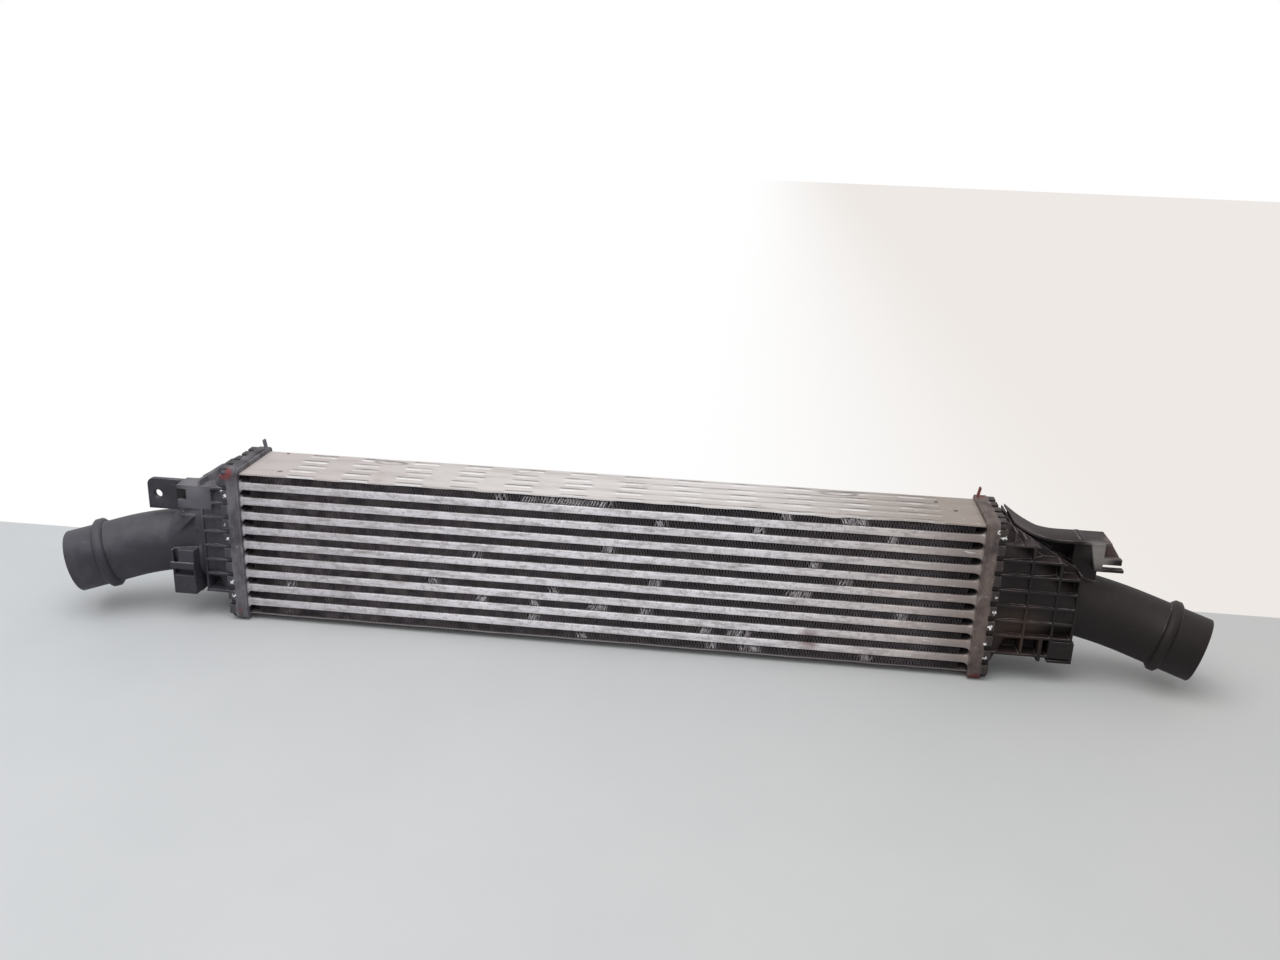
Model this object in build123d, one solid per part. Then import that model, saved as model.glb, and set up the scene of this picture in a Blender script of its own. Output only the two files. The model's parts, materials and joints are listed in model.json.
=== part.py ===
from build123d import *
import os
from math import atan, cos, radians, sin, tan

# Charge-air cooler: a brazed aluminium core with moulded end tanks crimped onto its header plates.
# X runs along the core, Y from front to back, Z up. The origin is on the underside of the bottom
# side plate, at the middle of the core. Everything on the left is modelled on the right and mirrored.
# Lengths are in millimetres, and angles in degrees.

# --- core ---
core_length = 618.0          # between the two header plates
core_depth = 64.0
tube_count = 9
tube_height = 7.0
tube_wall = 0.6
tube_corner = 1.2
tube_stickout = 2.5          # how far a tube end stands out of its header plate
fin_height = 6.35
fin_sheet = 0.35
fin_folds = 40               # legs in one strip
fin_end_gap = 8.0            # bare tube between a fin strip and the header plate
turbulator_sheet = 0.3
turbulator_folds = 8
turbulator_setback = 6.0     # from the tube end to the turbulator
turbulator_side_gap = 3.0    # from the tube's nose to the turbulator

# --- side plates ---
plate_sheet = 1.5
plate_end_gap = 0.3
bead_length = 24.0
bead_width = 2.6
bead_rise = 0.6
bead_taper = 45.0
bead_pitch = 46.5
beads_per_row = 12
bead_rows = 5
bead_row_pitch = 13.3
plate_hole_radius = 1.9
plate_holes = [(-1, 19.0, 26.0), (-1, 31.0, -22.0), (1, 34.0, 19.0), (1, 20.0, -4.0)]   # end, setback, Y

# --- header plates ---
header_sheet = 1.5
header_over_depth = 5.0      # how far the header stands out past the core, front and back
header_over_height = 4.0     # and above and below it
header_wall = 16.0           # height of the crimped wall, measured along X
header_corner = 5.0
braze_gap = 0.15
tab_width = 8.6
tab_pitch = 13.2
tab_rise = 4.5               # part of the wall that is cut into tabs
tab_lip = 3.4
tabs_on_side = 10
tabs_on_end = 5
tongue_width = 5.0
tongue_rise = 8.5            # upright corner tongue, at the top and back
tongue_lean = 1.6
tongue_drop = 1.3            # corner tongue bent flat, at the bottom and front
tongue_length = 7.0
tongue_setback = 3.0         # from the tabs back to the upright tongue

# --- gaskets ---
gasket_thickness = 3.0
gasket_width = 3.0
seat_gap = 0.25

# --- end tanks, with distances along X from the crimp and heights from the hood or the deck ---
tank_wall = 3.0
foot_corner = 3.5
rib_sheet = 2.0
rib_pitch = 13.2
rib_count = 7
lowest_rib_rise = 17.0       # from the hood's floor
long_ribs = [-16.0, 0.0, 16.0]
hood_shoulder = 14.0         # from the crimp to the narrow part of the duct
hood_lift = 16.85            # underside of the ribbed hood above the foot's opening
hood_slope = 31.0            # fall of the hood's top away from the header
rib_depth = 4.0              # how far the ribs stand off the duct
hood_corner = 8.0            # corner radius of the duct at the foot
waist_corner = 20.0          # and at its narrow part
corner_facets = 4            # points on each corner of the duct
root_radius = 29.5           # duct where it leaves the hood
root_overlap = 10.0          # how far the round duct reaches back into the hood
neck_radius = 27.0
neck_length = 24.0           # from the mouth to the stop ring
ring_width = 9.5
ring_rise = 3.6
ring_chamfer = 2.4
mouth_chamfer = 0.8
neck_drop = 13.6
neck_sweep = 19.0

left_hood_run = 42.5
left_columns = [21.0]
left_short_columns = []
left_crown = 9.0             # level stretch before the hood's top starts to fall
left_shoulder = 21.0         # from the crimp to the hood's floor
left_root_offset = (52.5, -8.3, -7.95)     # from the middle of the crimp
left_mouth_offset = (138.5, -38.0, -24.75)
left_corner = 65.0           # from the mouth back to where the two straight runs would meet
left_bend = 190.0            # bend radius
right_hood_run = 65.5
right_columns = [25.0, 47.5, 63.5]
right_short_columns = [8.5, 16.5]   # above the highest level rib only
right_crown = 5.5
right_shoulder = 14.0
right_root_offset = (64.5, -1.0, -7.25)
right_mouth_offset = (168.5, -24.0, -32.75)
right_corner = 80.0
right_bend = 140.0

# --- left tank: box with the mounting eye above, clip socket below ---
box_start = 12.5
box_length = 30.0
box_depth = 20.0
box_drop = 12.75             # from the hood's highest edge
box_height = 21.0
box_wall = 2.5
box_notch = 8.0              # opening in the box's front wall, at its outer end
eye_radius = 3.6
eye_distance = 66.1
eye_drop = 14.0              # from the top of the box
eye_margin = 9.2             # from the eye to the tab's free end
eye_tab_length = 42.8
eye_tab_height = 27.6
eye_tab_front = -20.0
eye_tab_sheet = 4.5
eye_tab_corner = 6.0
socket_start = 27.5
socket_length = 20.0
socket_lift = 1.0            # above the hood's floor
socket_height = 40.5
socket_stand = 10.15         # how far the block stands out in front of the hood
socket_depth = 28.0
socket_slot = 4.4            # upright slot above the bar, at the outer end
socket_slot_depth = 5.0
socket_wall = 1.4
socket_recess = 6.5          # slot under the bar
socket_recess_depth = 8.0
socket_bar_lift = 23.3       # from the block's floor
socket_bar = 6.0
socket_bar_stand = 1.4       # how far the bar stands off the block
groove_width = 4.0           # gap in the front ribs beside the socket
groove_height = 74.0
groove_depth = 16.0

# --- right tank: deck with the mounting fork above, clip foot below ---
deck_sheet = 2.5
deck_front = -17.0
deck_back = 11.0
deck_drop = 12.15            # from the hood's highest edge
deck_start = 9.5
deck_start_rise = 1.65       # above the hood's highest edge
deck_flare = 26.0            # back edge of the deck beside the header
deck_flare_end = 33.5
deck_bend = 50.5
deck_end = 88.5
deck_step = 66.5             # low step across the deck
deck_step_width = 4.0
deck_step_rise = 0.5
web_toe = (98.0, 20.0)       # distance from the crimp, drop from the deck
web_heel = (80.5, 26.2)
cheek_start = 71.5
cheek_length = 11.0
cheek_front = -21.0
cheek_foot = 5.5             # width of the cheek at its lower edge
cheek_sheet = 4.0
gusset_start = 61.5
gusset_toe = 100.0
gusset_height = 42.2
gusset_front = -9.0
prong_depth = 6.0
fork_drop = 23.4             # from the deck to the underside of the lower prong
lower_prong_length = 17.0
lower_prong_sheet = 2.6
fork_gap = 3.8
upper_prong_length = 14.5
upper_prong_sheet = 5.0
clip_foot_start = 48.0
clip_foot_length = 19.5
clip_foot_drop = 4.0         # below the hood's floor
clip_foot_height = 19.0
clip_foot_depth = 18.0
clip_foot_wall = 2.4
clip_tooth = 39.5            # small tooth in front of the clip foot
clip_tooth_width = 3.0
clip_tooth_drop = 3.5

# --- worked out from the sizes above ---
fin_count = tube_count + 1
row_pitch = tube_height + fin_height
core_height = 2 * plate_sheet + fin_count * fin_height + tube_count * tube_height
core_middle = core_height / 2
header_face = core_length / 2
header_depth = core_depth + 2 * header_over_depth
header_height = core_height + 2 * header_over_height
header_end = header_face + header_wall
tube_length = core_length + 2 * (header_sheet + tube_stickout)
gasket_seat = header_face + header_sheet
foot_base = gasket_seat + gasket_thickness
foot_top = header_end - header_sheet
foot_depth = header_depth - 2 * (header_sheet + seat_gap)
foot_height = header_height - 2 * (header_sheet + seat_gap)
hood_depth = header_depth - 2 * (header_sheet + tab_lip + seat_gap)
hood_height = header_height - 2 * (header_sheet + tab_lip + seat_gap)
hood_front = -hood_depth / 2
hood_base_low = core_middle - hood_height / 2
hood_base_high = core_middle + hood_height / 2
hood_floor = hood_base_low + hood_lift
lowest_rib = hood_floor + lowest_rib_rise
box_inner = foot_top + box_start
box_outer = box_inner + box_length
box_top = hood_base_high - box_drop
box_floor = box_top - box_height
eye_centre = (foot_top + eye_distance, box_top - eye_drop)
eye_tab_outer = eye_centre[0] + eye_margin
eye_tab_inner = eye_tab_outer - eye_tab_length
socket_inner = foot_top + socket_start
socket_outer = socket_inner + socket_length
socket_floor = hood_floor + socket_lift
socket_top = socket_floor + socket_height
socket_bar_floor = socket_floor + socket_bar_lift
socket_front = hood_front - socket_stand
deck_top = hood_base_high - deck_drop
deck_root = (foot_top + deck_start, hood_base_high + deck_start_rise)
deck_tip = foot_top + deck_end
cheek_inner = foot_top + cheek_start
cheek_outer = cheek_inner + cheek_length
gusset_inner = foot_top + gusset_start
gusset_floor = deck_top - gusset_height
lower_prong_floor = deck_top - fork_drop
clip_foot_inner = foot_top + clip_foot_start
clip_foot_outer = clip_foot_inner + clip_foot_length
clip_foot_floor = hood_floor - clip_foot_drop


def block(x, y, z):
    """A box between two limits on each axis."""
    size = [high - low for low, high in (x, y, z)]
    middle = [(low + high) / 2 for low, high in (x, y, z)]
    return Pos(*middle) * Box(*size)


def folded_sheet(length, height, legs, sheet):
    """Outline of a zigzag sheet, its lower edge on the X axis."""
    leg = length / legs
    drop = sheet / cos(atan(height / leg))
    run = [-length / 2 + leg * step for step in range(legs + 1)]
    lower = [(x, (height - drop) * (step % 2)) for step, x in enumerate(run)]
    upper = [(x, z + drop) for x, z in reversed(lower)]
    return make_face(Polyline(*lower, *upper, close=True))


def rounded(plane, width, height, corner, at=(0, 0)):
    return plane * Pos(*at) * RectangleRounded(width, height, corner)


def across(x):
    """Sketch plane square to X: its own X is Y, and its own Y is Z."""
    return Plane.YZ.offset(x)


# --- core ---

def flat_tube(row):
    middle = plate_sheet + fin_height + row * row_pitch + tube_height / 2
    outside = Rectangle(core_depth, tube_height)
    outside = chamfer(outside.vertices(), tube_corner)
    inside = Rectangle(core_depth - 2 * tube_wall, tube_height - 2 * tube_wall)
    inside = chamfer(inside.vertices(), tube_corner - tube_wall)
    section = across(-tube_length / 2) * Pos(0, middle) * (outside - inside)
    return extrude(section, amount=tube_length)


def turbulator(row):
    floor = plate_sheet + fin_height + row * row_pitch + tube_wall
    length = tube_length - 2 * turbulator_setback
    width = core_depth - 2 * (tube_wall + turbulator_side_gap)
    height = tube_height - 2 * tube_wall
    outline = folded_sheet(width, height, turbulator_folds, turbulator_sheet)
    return extrude(across(-length / 2) * Pos(0, floor) * outline, amount=length)


def fin_strip(row):
    floor = plate_sheet + row * row_pitch
    outline = folded_sheet(core_length - 2 * fin_end_gap, fin_height, fin_folds, fin_sheet)
    return extrude(Plane.XZ.offset(-core_depth / 2) * Pos(0, floor) * outline, amount=core_depth)


def bead():
    """One pressed stiffening dash with sloping sides, standing on Z = 0."""
    return extrude(Rectangle(bead_length, bead_width), amount=bead_rise, taper=bead_taper)


def side_plate(floor):
    length = core_length - 2 * plate_end_gap
    return block((-length / 2, length / 2), (-core_depth / 2, core_depth / 2), (floor, floor + plate_sheet))


def top_plate():
    """The upper side plate, with its rows of pressed dashes and four locating holes."""
    floor = core_height - plate_sheet
    plate = side_plate(floor)
    rows = [bead_row_pitch * (row - (bead_rows - 1) / 2) for row in range(bead_rows)]
    columns = [bead_pitch * (column - (beads_per_row - 1) / 2) for column in range(beads_per_row)]
    dash = bead()
    plate += [Pos(x, y, core_height) * dash for x in columns for y in rows]
    drill = Cylinder(plate_hole_radius, plate_sheet, align=(Align.CENTER, Align.CENTER, Align.MIN))
    half = core_length / 2
    plate -= [Pos(end * (half - setback), y, floor) * drill for end, setback, y in plate_holes]
    return plate


# --- header plates, built at the right end ---

def tab(y, z, turn):
    """One crimp tab of the wall, with its lip folded in over the tank's foot."""
    rise = block((foot_top - tab_rise, header_end), (-header_sheet, 0), (-tab_width / 2, tab_width / 2))
    lip = block((foot_top, header_end), (-header_sheet - tab_lip, 0), (-tab_width / 2, tab_width / 2))
    return Pos(0, y, z) * Rot(turn, 0, 0) * (rise + lip)


def tabs():
    along_side = [core_middle + tab_pitch * (i - (tabs_on_side - 1) / 2) for i in range(tabs_on_side)]
    along_end = [tab_pitch * (i - (tabs_on_end - 1) / 2) for i in range(tabs_on_end)]
    back = header_depth / 2
    top = core_middle + header_height / 2
    bottom = core_middle - header_height / 2
    crimps = [tab(back, z, 0) for z in along_side]
    crimps += [tab(-back, z, 180) for z in along_side]
    crimps += [tab(y, top, 90) for y in along_end]
    crimps += [tab(y, bottom, -90) for y in along_end]
    return crimps


def tongues():
    """Two loose corner tongues of the wall: one stands up, the other lies flat underneath."""
    back = header_depth / 2 - header_corner
    top = core_middle + header_height / 2 - header_sheet / 2
    low = core_middle - header_height / 2
    root = header_end - tab_rise - tongue_length
    stand = header_end - tab_rise - tongue_length - tongue_setback
    upright = Polyline(
        (stand, top),
        (stand + tongue_lean, top + tongue_rise),
        (stand + tongue_lean + header_sheet, top + tongue_rise),
        (stand + header_sheet, top),
        close=True,
    )
    standing = extrude(Plane.XZ.offset(-back) * make_face(upright), amount=tongue_width)
    flat = block(
        (root, root + tongue_length),
        (-back, -back + tongue_width),
        (low - tongue_drop, low + header_sheet / 2),
    )
    return [standing, flat]


def header_plate():
    """Flat face of the header, with a slot for each tube."""
    outer = rounded(across(header_face), header_depth, header_height, header_corner, (0, core_middle))
    face = extrude(outer, amount=header_sheet)
    for row in range(tube_count):
        middle = plate_sheet + fin_height + row * row_pitch + tube_height / 2
        slot = Rectangle(core_depth + 2 * braze_gap, tube_height + 2 * braze_gap)
        slot = chamfer(slot.vertices(), tube_corner)
        face -= extrude(across(header_face) * Pos(0, middle) * slot, amount=header_sheet)
    return face


def header_rim():
    """Wall that stands on the header's face, with the crimp tabs along its edge."""
    outer = rounded(across(gasket_seat), header_depth, header_height, header_corner, (0, core_middle))
    inner = rounded(
        across(gasket_seat),
        header_depth - 2 * header_sheet,
        header_height - 2 * header_sheet,
        header_corner - header_sheet,
        (0, core_middle),
    )
    wall = extrude(outer - inner, amount=foot_top - tab_rise - gasket_seat)
    return wall + tabs() + tongues()


def gasket():
    outer = rounded(across(gasket_seat), foot_depth, foot_height, foot_corner, (0, core_middle))
    hole = Rectangle(foot_depth - 2 * gasket_width, foot_height - 2 * gasket_width)
    outer -= across(gasket_seat) * Pos(0, core_middle) * hole
    return extrude(outer, amount=gasket_thickness)


# --- end tanks, built at the right end ---

def neck_direction():
    level = cos(radians(neck_drop))
    return Vector(
        level * cos(radians(neck_sweep)),
        -level * sin(radians(neck_sweep)),
        -sin(radians(neck_drop)),
    )


def hood_top(x, crown):
    """Height of the hood's sloping top at a distance along X, for the level stretch before it."""
    return hood_base_high - (x - foot_top - crown) * tan(radians(hood_slope))


def from_crimp(offset):
    """A point given from the middle of the crimp."""
    return (foot_top + offset[0], offset[1], core_middle + offset[2])


def square_to(direction, origin):
    return Plane(origin=tuple(origin), z_dir=tuple(direction))


def bevelled_ring(x, width, height, corner, at):
    """Points round a rectangle square to X, with each rounded corner as a few flats."""
    turn = 90 / corner_facets
    reach = corner / cos(radians(turn / 2))
    ring = []
    for quarter, (side, rise) in enumerate([(1, 1), (-1, 1), (-1, -1), (1, -1)]):
        y = at[0] + side * (width / 2 - corner)
        z = at[1] + rise * (height / 2 - corner)
        for step in range(corner_facets):
            angle = radians(90 * quarter + turn * (step + 1 / 2))
            ring.append((x, y + reach * cos(angle), z + reach * sin(angle)))
    return ring


def through_rings(rings):
    """Flat-sided solid through rings whose matching edges are parallel."""
    faces = [Face(Wire(Polyline(*ring, close=True).edges())) for ring in (rings[0], rings[-1])]
    for near, far in zip(rings, rings[1:]):
        for step in range(len(near)):
            corners = (near[step - 1], near[step], far[step], far[step - 1])
            faces.append(Face(Wire(Polyline(*corners, close=True).edges())))
    return Solid(Shell(faces))


def foot_ring(x, inset):
    """Outline of the duct where it meets the foot."""
    width = hood_depth - 2 * inset
    height = hood_height - 2 * inset
    return bevelled_ring(x, width, height, hood_corner - inset, (0, core_middle))


def hood(root, inset):
    """Tapered duct from the foot to its root; an inset of one wall gives the inside."""
    shoulder = foot_top + hood_shoulder
    low = hood_floor + rib_depth + inset
    high = hood_top(shoulder, right_crown) - rib_depth - inset
    depth = hood_depth - 2 * inset
    root_width = 2 * (root_radius - inset)
    waist = (0, (low + high) / 2)
    return through_rings([
        foot_ring(foot_top, inset),
        bevelled_ring(shoulder, depth - 2 * rib_depth, high - low, waist_corner - inset, waist),
        bevelled_ring(root[0], root_width, root_width, root_radius - inset, root[1:]),
    ])


def bend_shape(root, mouth, corner_run, bend_radius):
    """Direction of the first run, angle of the bend, and length that it takes off each run."""
    away = neck_direction()
    corner = Vector(*mouth) - away * corner_run
    toward = (corner - Vector(*root)).normalized()
    turn = toward.get_angle(away)
    return toward, turn, bend_radius * tan(radians(turn / 2))


def pipe(root, mouth, corner_run, bend_radius, inset):
    """Round duct from just inside the hood to the end of its bend."""
    away = neck_direction()
    start = Vector(*root)
    corner = Vector(*mouth) - away * corner_run
    toward, turn, tangent = bend_shape(root, mouth, corner_run, bend_radius)
    bend_start = corner - toward * tangent
    inward = (away - toward * toward.dot(away)).normalized()
    hinge = Axis(tuple(bend_start + inward * bend_radius), tuple(toward.cross(away)))
    radius = neck_radius - inset
    back = start - toward * root_overlap
    run = (bend_start - back).length
    flare = Cone(root_radius - inset, radius, run, align=(Align.CENTER, Align.CENTER, Align.MIN))
    bend = revolve(square_to(toward, bend_start) * Circle(radius), axis=hinge, revolution_arc=turn)
    return square_to(toward, back) * flare + bend


def neck(root, mouth, corner_run, bend_radius):
    """Straight end of the duct, with the raised ring that stops the hose."""
    away = neck_direction()
    length = corner_run - bend_shape(root, mouth, corner_run, bend_radius)[2]
    start = square_to(away, Vector(*mouth) - away * length)
    spigot = extrude(start * Circle(neck_radius), amount=length)
    spigot = chamfer(spigot.faces().sort_by_distance(mouth)[0].edges(), mouth_chamfer)
    base = square_to(away, Vector(*mouth) - away * (neck_length + ring_width))
    ring = extrude(base * Circle(neck_radius + ring_rise), amount=ring_width)
    ring = chamfer(ring.edges().filter_by(GeomType.CIRCLE), ring_chamfer)
    return spigot + ring - extrude(start * Circle(neck_radius - tank_wall), amount=length)


def foot():
    """Solid flange that the header's tabs hold down on the gasket."""
    outer = rounded(across(foot_base), foot_depth, foot_height, foot_corner, (0, core_middle))
    return extrude(outer, amount=foot_top - foot_base)


def foot_opening():
    return through_rings([foot_ring(foot_base, tank_wall), foot_ring(foot_top, tank_wall)])


def rib_grid(run, columns, short_columns, crown, shoulder):
    """Crossed ribs, trimmed to the hood's outline."""
    end = foot_top + run
    outline = Polyline(
        (foot_top, hood_base_low),
        (foot_top + shoulder, hood_floor),
        (end, hood_floor),
        (end, hood_top(end, crown)),
        (foot_top + crown, hood_base_high),
        (foot_top, hood_base_high),
        close=True,
    )
    envelope = extrude(Plane.XZ.offset(hood_front) * make_face(outline), amount=hood_depth)
    length = (foot_top, end)
    depth = (hood_front, -hood_front)
    height = (hood_floor, hood_base_high)
    heights = [hood_floor + rib_sheet / 2]
    heights += [lowest_rib + rib_pitch * step for step in range(rib_count)]
    ribs = [block(length, depth, (z - rib_sheet / 2, z + rib_sheet / 2)) for z in heights]
    ribs += [block((foot_top + x, foot_top + x + rib_sheet), depth, height) for x in columns]
    above = (heights[-1], hood_base_high)
    ribs += [block((foot_top + x, foot_top + x + rib_sheet), depth, above) for x in short_columns]
    ribs += [block(length, (y - rib_sheet / 2, y + rib_sheet / 2), height) for y in long_ribs]
    grid = ribs[0] + ribs[1:]
    return grid & envelope


def eye_box():
    """Open-ended box on the left tank that carries the eye."""
    front = hood_front
    back = hood_front + box_depth
    shell = block((box_inner, box_outer), (front, back), (box_floor, box_top))
    hollow = block(
        (box_inner + 2 * box_wall, box_outer),
        (front + box_wall, back - box_wall),
        (box_floor + box_wall, box_top - box_wall),
    )
    notch = block(
        (box_outer - box_notch, box_outer),
        (front, front + box_wall),
        (box_floor + 3 * box_wall, box_top - 1.5 * box_wall),
    )
    return shell - hollow - notch


def eye_tab():
    middle = (eye_tab_inner + eye_tab_length / 2, box_top - eye_tab_height / 2)
    plate = Pos(*middle) * Rectangle(eye_tab_length, eye_tab_height)
    corner = max(plate.vertices(), key=lambda v: v.X + v.Y)
    plate = fillet(corner, eye_tab_corner)
    plate -= Pos(*eye_centre) * Circle(eye_radius)
    return extrude(Plane.XZ.offset(-(eye_tab_front + eye_tab_sheet)) * plate, amount=eye_tab_sheet)


def socket_block():
    """Block below the box that takes a clip."""
    deep = (socket_front, socket_front + socket_depth)
    return block((socket_inner, socket_outer), deep, (socket_floor, socket_top))


def socket_pockets():
    """An upright slot above the bar and a recess below it."""
    slot = block(
        (socket_outer - socket_wall - socket_slot, socket_outer - socket_wall),
        (socket_front, socket_front + socket_slot_depth),
        (socket_bar_floor, socket_top),
    )
    recess = block(
        (socket_inner + socket_wall, socket_outer - socket_wall),
        (socket_front, socket_front + socket_recess_depth),
        (socket_bar_floor - socket_recess, socket_bar_floor),
    )
    return slot + recess


def socket_crossbar():
    return block(
        (socket_inner, socket_outer + socket_bar_stand),
        (socket_front - socket_bar_stand, socket_front + socket_bar_stand),
        (socket_bar_floor, socket_bar_floor + socket_bar),
    )


def left_duct():
    return (from_crimp(left_root_offset), from_crimp(left_mouth_offset), left_corner, left_bend)


def left_tank():
    grid = rib_grid(left_hood_run, left_columns, left_short_columns, left_crown, left_shoulder)
    groove = (socket_inner - groove_width, socket_inner)
    grid -= block(groove, (hood_front, hood_front + groove_depth), (hood_floor, hood_floor + groove_height))
    root = from_crimp(left_root_offset)
    body = foot() + grid + eye_box() + eye_tab() + socket_block()
    body += hood(root, 0) + pipe(*left_duct(), 0)
    body -= socket_pockets()
    body += socket_crossbar()
    body -= foot_opening() + hood(root, tank_wall) + pipe(*left_duct(), tank_wall)
    return body


def deck_line(drop):
    """The deck's top line, lowered by a drop: it sweeps down from the header and runs out level."""
    start = (deck_root[0], deck_root[1] - drop)
    bend = (foot_top + deck_bend, deck_top - drop)
    end = (deck_tip, deck_top - drop)
    return [TangentArc(bend, start, tangent=(-1, 0)), Line(bend, end)]


def fork_deck():
    top = deck_line(0)
    under = deck_line(deck_sheet)
    start_edge = Line(deck_root, (deck_root[0], deck_root[1] - deck_sheet))
    end_edge = Line((deck_tip, deck_top), (deck_tip, deck_top - deck_sheet))
    strip = make_face(Wire([*top, *under, start_edge, end_edge]))
    deck = extrude(Plane.XZ.offset(-deck_flare) * strip, amount=deck_flare - deck_front)
    seen_from_above = Polyline(
        (deck_root[0], deck_front),
        (deck_tip, deck_front),
        (deck_tip, deck_back),
        (foot_top + deck_flare_end, deck_back),
        (deck_root[0], deck_flare),
        close=True,
    )
    deck &= extrude(make_face(seen_from_above), amount=header_height)
    middle = foot_top + deck_step
    step = (middle - deck_step_width / 2, middle + deck_step_width / 2)
    return deck + block(step, (deck_front, deck_back), (deck_top, deck_top + deck_step_rise))


def fork_web():
    """Upright web behind the fork, closed by the deck above and the hood below."""
    toe = (foot_top + web_toe[0], deck_top - web_toe[1])
    heel = (foot_top + web_heel[0], deck_top - web_heel[1])
    low = (gusset_inner, gusset_floor)
    far_end = (foot_top, hood_top(foot_top + right_hood_run, right_crown))
    below = Polyline((deck_tip, deck_top), toe, heel, low, far_end, deck_root)
    outline = make_face(Wire([*deck_line(0), *below.edges()]))
    return extrude(Plane.XZ.offset(-deck_back) * outline, amount=rib_sheet)


def fork():
    """Cheek and gusset that hang from the deck and carry the two prongs."""
    lower_top = lower_prong_floor + lower_prong_sheet
    upper_floor = lower_top + fork_gap
    upper_top = upper_floor + upper_prong_sheet
    cheek = Polyline(
        (cheek_inner, deck_top),
        (cheek_outer, deck_top),
        (cheek_outer, lower_prong_floor),
        (cheek_outer - cheek_foot, lower_prong_floor),
        close=True,
    )
    gusset = Polyline(
        (gusset_inner, deck_top),
        (deck_tip, deck_top),
        (foot_top + gusset_toe, upper_floor),
        (cheek_outer, upper_floor),
        (cheek_outer, gusset_floor),
        (gusset_inner, gusset_floor),
        close=True,
    )
    solid = extrude(Plane.XZ.offset(-(cheek_front + cheek_sheet)) * make_face(cheek), amount=cheek_sheet)
    solid += extrude(Plane.XZ.offset(-(gusset_front + rib_sheet)) * make_face(gusset), amount=rib_sheet)
    deep = (cheek_front, cheek_front + prong_depth)
    inside = (cheek_outer - cheek_foot, cheek_outer)
    root = block(inside, (cheek_front, gusset_front), (lower_prong_floor, upper_top))
    lower = block((cheek_outer, cheek_outer + lower_prong_length), deep, (lower_prong_floor, lower_top))
    upper = block((cheek_outer, cheek_outer + upper_prong_length), deep, (upper_floor, upper_top))
    return solid + root + lower + upper


def clip_foot():
    """Small L-shaped foot under the right tank, with a tooth beside it."""
    front = hood_front
    deep = (front, front + clip_foot_depth)
    height = (clip_foot_floor, clip_foot_floor + clip_foot_height)
    solid = block((clip_foot_inner, clip_foot_outer), deep, height)
    solid -= block(
        (clip_foot_inner, clip_foot_outer - clip_foot_wall),
        (front, front + clip_foot_depth - clip_foot_wall),
        (clip_foot_floor + clip_foot_wall, hood_floor),
    )
    tooth = block(
        (foot_top + clip_tooth, foot_top + clip_tooth + clip_tooth_width),
        (front, front + clip_foot_depth),
        (hood_floor - clip_tooth_drop, lowest_rib),
    )
    return solid + tooth


def right_duct():
    return (from_crimp(right_root_offset), from_crimp(right_mouth_offset), right_corner, right_bend)


def right_tank():
    grid = rib_grid(right_hood_run, right_columns, right_short_columns, right_crown, right_shoulder)
    body = foot() + grid + fork_deck() + fork_web() + fork() + clip_foot()
    root = from_crimp(right_root_offset)
    body += hood(root, 0) + pipe(*right_duct(), 0)
    body -= foot_opening() + hood(root, tank_wall) + pipe(*right_duct(), tank_wall)
    return body


def on_left(solid):
    return mirror(solid, about=Plane.YZ)


def main():
    os.makedirs("parts", exist_ok=True)
    parts = {}
    for row in range(tube_count):
        parts[f"tube_{row + 1}"] = flat_tube(row)
        parts[f"turbulator_{row + 1}"] = turbulator(row)
    for row in range(fin_count):
        parts[f"fin_{row + 1}"] = fin_strip(row)
    parts["top_side_plate"] = top_plate()
    parts["bottom_side_plate"] = side_plate(0)
    for name, solid in (("header", header_plate()), ("header_rim", header_rim()), ("gasket", gasket())):
        parts[f"right_{name}"] = solid
        parts[f"left_{name}"] = on_left(solid)
    parts["right_tank"] = right_tank()
    parts["right_neck"] = neck(*right_duct())
    parts["left_tank"] = on_left(left_tank())
    parts["left_neck"] = on_left(neck(*left_duct()))
    for name, solid in parts.items():
        export_step(solid, f"parts/{name}.step")


main()
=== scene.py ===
import json
import math

import bmesh
import bpy
import numpy as np
from mathutils import Matrix, Vector
from mathutils.bvhtree import BVHTree

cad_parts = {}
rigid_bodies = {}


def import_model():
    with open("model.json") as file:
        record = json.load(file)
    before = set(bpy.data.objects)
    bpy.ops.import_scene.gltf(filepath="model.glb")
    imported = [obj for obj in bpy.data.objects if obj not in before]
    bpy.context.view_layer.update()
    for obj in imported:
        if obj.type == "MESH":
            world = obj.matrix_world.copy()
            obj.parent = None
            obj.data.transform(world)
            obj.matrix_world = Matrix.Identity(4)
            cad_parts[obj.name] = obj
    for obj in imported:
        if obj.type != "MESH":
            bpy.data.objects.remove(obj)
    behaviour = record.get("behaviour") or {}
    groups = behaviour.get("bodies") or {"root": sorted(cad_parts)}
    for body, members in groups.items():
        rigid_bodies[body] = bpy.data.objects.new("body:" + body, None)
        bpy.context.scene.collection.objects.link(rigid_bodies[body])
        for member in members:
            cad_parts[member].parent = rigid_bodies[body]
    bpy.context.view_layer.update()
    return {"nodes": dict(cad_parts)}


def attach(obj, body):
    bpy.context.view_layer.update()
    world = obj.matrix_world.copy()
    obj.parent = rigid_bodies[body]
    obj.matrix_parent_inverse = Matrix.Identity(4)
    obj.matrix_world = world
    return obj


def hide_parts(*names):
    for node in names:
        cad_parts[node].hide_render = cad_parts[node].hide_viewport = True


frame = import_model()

nodes = frame["nodes"]
mm = 0.001
sharpAngle = math.radians(50)  # edges steeper than this stay sharp
print("frame loaded:", len(nodes), "nodes")


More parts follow.
